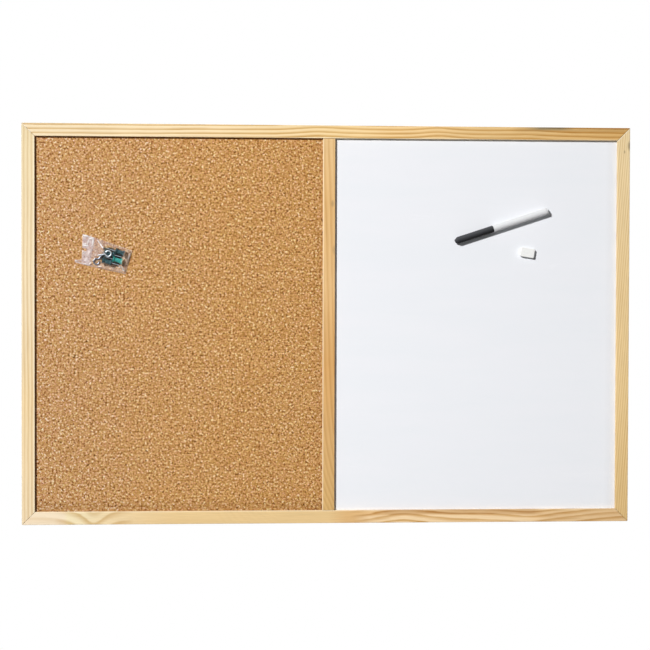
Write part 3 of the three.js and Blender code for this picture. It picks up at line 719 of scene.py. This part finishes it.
def drape(sheet, places):
    """Lets the film settle over what is in the bag, held along its welds and its seal."""
    for vertex, along in zip(sheet.data.vertices, places):
        vertex.co.z = start_height(along, vertex.co.y)
    contents = contents_to_drape_on()
    bpy.ops.mesh.primitive_plane_add(size=4)
    table = bpy.context.object
    bpy.ops.object.modifier_add(type="COLLISION")
    table.collision.thickness_outer = 0.006

    only(sheet)
    held = sheet.vertex_groups.new(name="held")
    for vertex, along in zip(sheet.data.vertices, places):
        at_weld = half_width(along) - abs(vertex.co.y) < WELD or along > BAG_LENGTH - WELD
        if at_weld or abs(along - SEAL_AT) < SEAL_WIDTH / 2:
            held.add([vertex.index], 1.0, "REPLACE")
    sheet.data.transform(Matrix.Scale(DRAPE_SCALE * MM, 4))
    bpy.ops.object.modifier_add(type="CLOTH")
    cloth = sheet.modifiers["Cloth"]
    film = cloth.settings
    film.quality = 8
    film.mass = 0.15
    film.tension_stiffness = film.compression_stiffness = 25
    film.shear_stiffness = 12
    film.bending_stiffness = 0.25
    film.tension_damping = film.compression_damping = 10
    film.shear_damping = 8
    film.air_damping = 2
    film.vertex_group_mass = "held"
    film.shrink_min = -0.035
    film.effector_weights.gravity = 0.6
    cloth.collision_settings.distance_min = 0.003
    cloth.collision_settings.collision_quality = 3
    cloth.point_cache.frame_end = DRAPE_FRAMES
    for at in range(1, DRAPE_FRAMES + 1):
        bpy.context.scene.frame_set(at)
    bpy.ops.object.modifier_apply(modifier="Cloth")
    bpy.context.scene.frame_set(1)
    sheet.vertex_groups.clear()
    for spare in (contents, table):
        bpy.data.objects.remove(spare)
    sheet.data.transform(Matrix.Scale(1 / (DRAPE_SCALE * MM), 4))


# Creases as start, end, height, width and how white they are, which is crease whitening and a painted
# highlight
CREASES = [
    ((-6.2, 13.0), (-1.2, 13.6), 0.5, 0.9, 1.0), ((-4.4, 3.8), (1.6, 4.6), 0.5, 0.7, 1.0),
    ((-4.2, 5.2), (-0.5, 6.0), 0.3, 0.7, 0.7), ((-3.3, -1.2), (-2.0, -5.4), 0.5, 0.7, 1.0),
    ((-2.0, -5.4), (0.8, -1.8), 0.4, 0.55, 0.7), ((0.2, 4.8), (0.4, 11.6), 0.35, 0.7, 0.7),
    ((0.4, 11.6), (3.6, 13.2), 0.35, 0.8, 1.0), ((4.0, 13.4), (5.3, 6.6), 0.4, 0.7, 1.0),
    ((5.3, 6.6), (6.0, -3.0), 0.25, 0.6, 0.4), ((8.2, 12.9), (12.0, 9.8), 0.6, 0.65, 0.8),
    ((12.0, 9.8), (16.0, 6.4), 0.7, 0.8, 1.0), ((7.4, -13.0), (8.6, -9.6), 0.5, 0.7, 0.8),
    ((8.6, -9.6), (11.4, -5.6), 0.45, 0.6, 0.55), ((0.6, -13.2), (6.0, -13.2), 0.3, 0.8, 0.7),
    ((1.2, -1.5), (3.0, -9.5), 0.3, 0.9, 0.4), ((15.6, -12.2), (19.6, -11.2), 0.5, 0.7, 1.0),
    ((35.0, -7.2), (39.0, -6.2), 0.4, 0.7, 0.8), ((39.0, -6.2), (42.2, -9.6), 0.5, 0.8, 0.9),
    ((42.2, -0.5), (42.8, 9.5), 0.4, 0.6, 0.9), ((39.6, 6.0), (40.4, 1.0), 0.4, 0.8, 0.6),
    ((17.0, 12.6), (24.0, 12.2), 0.3, 0.6, 0.4), ((25.0, 11.2), (32.0, 11.4), 0.3, 0.6, 0.3),
    ((20.0, -9.8), (26.0, -11.6), 0.3, 0.7, 0.3), ((27.0, -8.8), (33.0, -11.4), 0.35, 0.7, 0.35),
    ((10.6, 9.4), (12.6, -3.0), 0.4, 0.6, 0.22), ((13.6, 4.2), (20.6, 1.2), 0.2, 0.5, 0.5),
    ((39.6, 11.0), (34.6, 8.6), 0.3, 0.7, 0.25),
]
WRINKLE_SIZE, WRINKLE_HEIGHT = 2.3, 0.16
LEAST_HEIGHT = 0.02


def uneven(vertex, size, seed):
    return noise_value((vertex.co.x / size, vertex.co.y / size, seed))


def crease(sheet, raised):
    """Raises the creases, by a share of their height, and notes how white the film is, with painted
    highlights along them.
    """
    white = sheet.data.attributes.new("whitened_and_highlit", "FLOAT", "POINT")
    for vertex in sheet.data.vertices:
        spot = vertex.co.xy
        wave = uneven(vertex, 1.7, 9.1)
        white_and_highlight = 0.0
        for start, end, height, width, share_white_and_highlight in CREASES:
            start, end = Vector(start), Vector(end)
            way = end - start
            share = clamped((spot - start).dot(way) / way.length_squared)
            off = (spot - start - share * way).length
            fade = 0.45 + 0.55 * math.sin(math.pi * share) ** 0.5
            vertex.co.z += raised * height * fade * math.exp(-off / width)
            near = math.exp(-(off / (0.95 * width * (1 + 0.35 * wave))) ** 2)
            white_and_highlight = max(white_and_highlight, share_white_and_highlight * fade * near * raised)
        wrinkle = WRINKLE_HEIGHT * uneven(vertex, WRINKLE_SIZE, 3.7)
        vertex.co.z = max(vertex.co.z + raised * wrinkle, LEAST_HEIGHT)
        white.data[vertex.index].value = white_and_highlight


LIP_CORNER = Vector((-6.6, -12.4))  # of the back sheet's lip, which stands out a little beyond the front one
LIP_LENGTH, LIP_SIDE, LIP_WIDTH, LIP_LIFT = 5, -8.5, 3.5, 1.2
LIP_NICK = (1.9, 0.8)


def stretch_lip(sheet, places):
    """Draws the mouth's lower corner of the back sheet out beyond the front one, with a white nick in it, a
    painted highlight.
    """
    white = sheet.data.attributes["whitened_and_highlit"]
    for vertex, along in zip(sheet.data.vertices, places):
        if along < LIP_LENGTH and vertex.co.y < LIP_SIDE:
            near_mouth = 1 - along / LIP_LENGTH
            share = near_mouth ** 1.5 * min((LIP_SIDE - vertex.co.y) / LIP_WIDTH, 1) ** 2
            vertex.co.x += LIP_CORNER.x * share
            vertex.co.z += LIP_LIFT * share * near_mouth
            nick = vertex.co.xy - LIP_CORNER
            nick_highlight = math.exp(-(nick.x / LIP_NICK[0]) ** 2 - (nick.y / LIP_NICK[1]) ** 2)
            white.data[vertex.index].value = max(white.data[vertex.index].value, nick_highlight)


def paint_shade_under_pins(sheet, depth):
    """Painted shade on the sheet under the pins: dark, tinted with their colour, where their shadow falls."""
    painted_shade = sheet.data.attributes.new("painted_shade", "FLOAT", "POINT")
    for vertex in sheet.data.vertices:
        along, across = ((vertex.co[axis] - PINS_MIDDLE[axis]) / PINS_HALF[axis] for axis in (0, 1))
        reach = (along ** 4 + across ** 4) ** 0.25 + 0.22 * uneven(vertex, 2.6, 5.3)
        painted_shade.data[vertex.index].value = depth * clamped((1.06 - reach) / 0.2)


def seal_ridges(sheet, places):
    """The press seal: two ridges across the bag."""
    for vertex, along in zip(sheet.data.vertices, places):
        for ridge in (-RIDGES_APART / 2, RIDGES_APART / 2):
            off = (along - SEAL_AT - ridge) / RIDGE_WIDTH
            vertex.co.z += RIDGE_HEIGHT * math.exp(-off * off)


def from_hole(spot):
    return Vector(((spot.x - HOLE_MIDDLE.x) / HOLE_STRETCH, spot.y - HOLE_MIDDLE.y))


def punch(sheet):
    """The hang hole, pulled long: points near its edge are drawn onto it and what is inside is taken out."""
    for vertex in sheet.data.vertices:
        off = from_hole(vertex.co)
        if 0.75 * HOLE_RADIUS < off.length < 1.25 * HOLE_RADIUS:
            edge = off.normalized() * HOLE_RADIUS
            vertex.co.x = HOLE_MIDDLE.x + HOLE_STRETCH * edge.x
            vertex.co.y = HOLE_MIDDLE.y + edge.y
    only(sheet)
    bpy.ops.object.mode_set(mode="EDIT")
    bpy.ops.mesh.select_all(action="DESELECT")
    bpy.ops.object.mode_set(mode="OBJECT")
    for face in sheet.data.polygons:
        face.select = from_hole(face.center).length < 0.93 * HOLE_RADIUS
    bpy.ops.object.mode_set(mode="EDIT")
    bpy.ops.mesh.select_mode(type="FACE")
    bpy.ops.mesh.delete(type="FACE")
    bpy.ops.object.mode_set(mode="OBJECT")


def film():
    """Clear film, milky where it is creased, welded or doubled in the seal and lips, and clear where it is
    drawn over the pins and over the eye on the bag's floor. Its lengths are the bag's millimetres."""
    material, tree, shader = finish("clear film")
    split = step(tree, "SeparateXYZ", {0: step(tree, "UVMap").outputs[0]}).outputs
    along = times(tree, split[0], BAG_LENGTH)
    across = swing(tree, split[1], 2 * MOUTH_HALF)
    sheet = joined(tree, along, across, 0.0)

    bent = stirred(tree, sheet, noise(tree, sheet, 0.16, output="Color"), 12.0)
    cells = {"Vector": bent, "Scale": 0.17}
    wide = step(
        tree, "TexVoronoi", cells, voronoi_dimensions="2D", feature="DISTANCE_TO_EDGE").outputs["Distance"]
    lines = spread(tree, wide, 0.0, 0.1, 1.0, 0.0)
    cloud = spread(tree, noise(tree, sheet, 0.26, 3.0, 0.55), 0.4, 0.7)

    lips = spread(tree, along, SEAL_AT - 0.8, SEAL_AT + 0.4, 1.0, 0.0)
    mouth_end = spread(tree, along, SEAL_AT + 6, SEAL_AT + 12, 1.0, 0.0)
    over_pins = times(
        tree, times(tree, spread(tree, along, 16.0, 18.0), spread(tree, along, 36.2, 37.6, 1.0, 0.0)),
        times(tree, spread(tree, across, -9.5, -7.5), spread(tree, across, 10.0, 12.0, 1.0, 0.0)))
    from_eye = step(
        tree, "VectorMath", {0: sheet, 1: (13.0, -8.9, 0.0)}, operation="DISTANCE").outputs["Value"]
    over_contents = larger(tree, over_pins, spread(tree, from_eye, 3.6, 5.2, 0.8, 0.0))
    welds = larger(
        tree, spread(tree, size_of(tree, across), 13.3, 13.6),
        spread(tree, along, BAG_LENGTH - 1.1, BAG_LENGTH - 0.8))
    off_ridge = size_of(tree, minus(tree, size_of(tree, minus(tree, along, SEAL_AT)), RIDGES_APART / 2))
    ridges = spread(tree, off_ridge, 0.12, 0.35, 1.0, 0.0)
    # painted light: a pale tan haze past the pins and along the bag's lower side, over the pins' cast shadow
    foot_of_pins = times(
        tree, spread(tree, along, 36.8, 39.0, 0.0, 2.0), spread(tree, across, -4.0, 0.0, 0.3, 1.0))
    painted_light_rim = times(
        tree, spread(tree, along, 15.0, 19.0),
        larger(tree, foot_of_pins, spread(tree, across, -9.5, -7.5, 0.8, 0.0)))

    haze = plus(tree, 0.075, times(tree, lips, 0.19))
    for place, share in (
            (mouth_end, 0.06), (cloud, spread(tree, lips, 0, 1, 0.075, 0.2)),
            (lines, spread(tree, lips, 0, 1, 0.08, 0.16)), (welds, 0.08), (ridges, 0.2), (painted_light_rim, 0.2)):
        haze = plus(tree, haze, times(tree, place, share))
    haze = times(tree, haze, spread(tree, over_contents, 0, 1, 1.0, 0.15))
    creased = step(tree, "Attribute", attribute_name="whitened_and_highlit").outputs["Fac"]
    painted_shade = step(tree, "Attribute", attribute_name="painted_shade").outputs["Fac"]
    alpha = larger(tree, larger(tree, haze, spread(tree, creased, 0.0, 1.0, 0.0, 0.98)), painted_shade)

    colour = blend(tree, cloud, shade(222, 202, 202), shade(244, 232, 230))
    colour = blend(tree, spread(tree, painted_light_rim, 0.0, 1.0, 0.0, 0.8), colour, shade(246, 214, 180))
    # painted highlight: the creased film white and nearly opaque, as crease whitening and glints
    colour = blend(tree, spread(tree, creased, 0.1, 0.6), colour, shade(253, 251, 250))
    # painted shade: the back sheet dark and teal under the pins
    colour = blend(tree, spread(tree, painted_shade, 0.0, 0.3), colour, shade(18, 50, 52))
    feed(tree, shader, {"Base Color": colour, "Alpha": alpha, "Roughness": 0.25, "Specular IOR Level": 0.25})
    bump(tree, shader, plus(tree, times(tree, cloud, 0.8), times(tree, lines, 0.5)), 0.5, 0.6 * MM)
    return material


def bag_film():
    """The front sheet draped over the contents, and the back one flat on the cork, as one piece."""
    front, places = film_grid("bag_film")
    drape(front, places)
    crease(front, 1.0)
    seal_ridges(front, places)
    paint_shade_under_pins(front, 0.0)
    punch(front)
    back, places = film_grid("bag_back_film")
    for vertex in back.data.vertices:
        vertex.co.z = BACK_HEIGHT
    crease(back, BACK_CREASED)
    stretch_lip(back, places)
    paint_shade_under_pins(back, PAINTED_SHADE_UNDER_PINS)
    punch(back)
    only(front, back)
    bpy.ops.object.join()
    front.data.transform(bag_place())
    bpy.ops.object.shade_smooth()
    front.data.materials.append(film())
    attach(front, "bag")
    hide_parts("bag_pouch")


# Screw eyes: each one's ring lies at a place on the bag, and its shank is turned by so many degrees from the
# bag's length. Its thread, in millimetres along the shank, is a wedge turned as a screw.

EYES = {"screw_eye_1": ((22.63, 2.4, 8.2), 205), "screw_eye_2": ((13.35, -8.1, 1.3), 66)}
EYE_LENGTH, EYE_TIP = 10.45, 2.2
THREAD_START, THREAD_PITCH, THREAD_TURNS = 5.5, 1.0, 4.6
WEDGE_SIZE, WEDGE_OUT = 0.3, 0.68
STEPS_ROUND = 16
THINNED = 0.8  # by this share at the shank's tip


def eye_thread(name):
    (middle, turn), finish_of_wire = EYES[name], eye_finishes[name]
    bpy.ops.mesh.primitive_circle_add(
        vertices=3, radius=WEDGE_SIZE, location=(WEDGE_OUT, 0, 0), rotation=(math.pi / 2, 0, 0))
    thread = bpy.context.object
    thread.name = name + "_thread"
    only(thread)
    bpy.ops.object.transform_apply(location=True, rotation=True)
    bpy.ops.object.modifier_add(type="SCREW")
    screw = thread.modifiers["Screw"]
    screw.angle = math.tau * THREAD_TURNS
    screw.screw_offset = THREAD_PITCH * THREAD_TURNS
    screw.steps = screw.render_steps = round(STEPS_ROUND * THREAD_TURNS)
    bpy.ops.object.modifier_apply(modifier="Screw")
    bpy.ops.object.mode_set(mode="EDIT")
    bpy.ops.mesh.select_mode(type="VERT")
    bpy.ops.mesh.select_all(action="DESELECT")
    bpy.ops.mesh.select_non_manifold()
    bpy.ops.mesh.fill()
    bpy.ops.mesh.select_all(action="SELECT")
    bpy.ops.mesh.normals_make_consistent()
    bpy.ops.object.mode_set(mode="OBJECT")
    for vertex in thread.data.vertices:
        vertex.co.z += THREAD_START
        beyond = clamped((vertex.co.z - EYE_LENGTH + EYE_TIP) / EYE_TIP)
        vertex.co.x *= 1 - THINNED * beyond
        vertex.co.y *= 1 - THINNED * beyond
    laid = Matrix.Translation(middle) @ Matrix.Rotation(math.radians(turn), 4, "Z") @ Matrix.Rotation(
        math.pi / 2, 4, "Y")
    thread.data.transform(bag_place() @ laid)
    thread.data.materials.append(finish_of_wire)
    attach(thread, "bag")


bag_film()
for eye in EYES:
    eye_thread(eye)


# Floor, light and background

FLOOR_DROP = 1.25
FLOOR_SIZE = 5.5
FLOOR_FADE = 1.1, 2.6  # from the middle, between which the floor turns into the white background
FLOOR_GREY, FLOOR_GLOW = 0.5, 0.6
AMBIENT = 0.075
KEY_WAY, KEY_DISTANCE, KEY_POWER, KEY_SIZE = Vector((-0.66, -1.0, 0.56)), 4.4, 233, 0.26
BACK_WAY, BACK_DISTANCE, BACK_POWER, BACK_SIZE = Vector((0.5, 0.75, 0.4)), 3.2, 60, 1.2


def seen(tree):
    """One for rays that the camera follows, straight or by way of gloss or clear pieces."""
    ray = step(tree, "LightPath").outputs
    return larger(
        tree, larger(tree, ray["Is Camera Ray"], ray["Is Glossy Ray"]), ray["Is Transmission Ray"])


def floor():
    bpy.ops.mesh.primitive_plane_add(size=FLOOR_SIZE, location=(0, 0, FOOT - FLOOR_DROP))
    plane = bpy.context.object
    plane.name = "floor"
    material, tree, shader = finish("pale floor")
    feed(tree, shader, {"Base Color": grey(FLOOR_GREY), "Roughness": 0.9})
    place, _ = coordinates(tree)
    bump(tree, shader, noise(tree, place, 40.0, 3.0), 0.05, 1 * MM)
    by_eye = seen(tree)
    glow = step(tree, "Emission", {"Color": grey(1.0), "Strength": times(tree, by_eye, FLOOR_GLOW)})
    white = step(tree, "Emission", {"Color": grey(1.0), "Strength": by_eye})
    both = step(tree, "AddShader", {0: shader.outputs[0], 1: glow.outputs[0]})
    faded = step(tree, "MixShader", {
        0: spread(tree, length_of(tree, place), *FLOOR_FADE), 1: both.outputs[0], 2: white.outputs[0]})
    tree.links.new(faded.outputs[0], tree.nodes["Material Output"].inputs["Surface"])
    plane.data.materials.append(material)


def lamp(name, way, distance, power, size):
    """A round soft lamp that faces the board's middle."""
    light = bpy.data.lights.new(name, "AREA")
    light.shape = "DISK"
    light.size = size
    light.energy = power
    shown = bpy.data.objects.new(name, light)
    way = way.normalized()
    shown.location = BOARD_MIDDLE + distance * way
    shown.rotation_euler = way.to_track_quat("Z", "Y").to_euler()
    bpy.context.scene.collection.objects.link(shown)


def sky():
    world = bpy.data.worlds.new("studio")
    bpy.context.scene.world = world
    world.use_nodes = True
    tree = world.node_tree
    feed(tree, tree.nodes["Background"], {
        "Color": grey(1.0), "Strength": spread(tree, seen(tree), 0, 1, AMBIENT, 1.0)})


floor()
lamp("key light", KEY_WAY, KEY_DISTANCE, KEY_POWER, KEY_SIZE)
lamp("back light", BACK_WAY, BACK_DISTANCE, BACK_POWER, BACK_SIZE)
sky()

bpy.context.scene.view_settings.view_transform = "Standard"
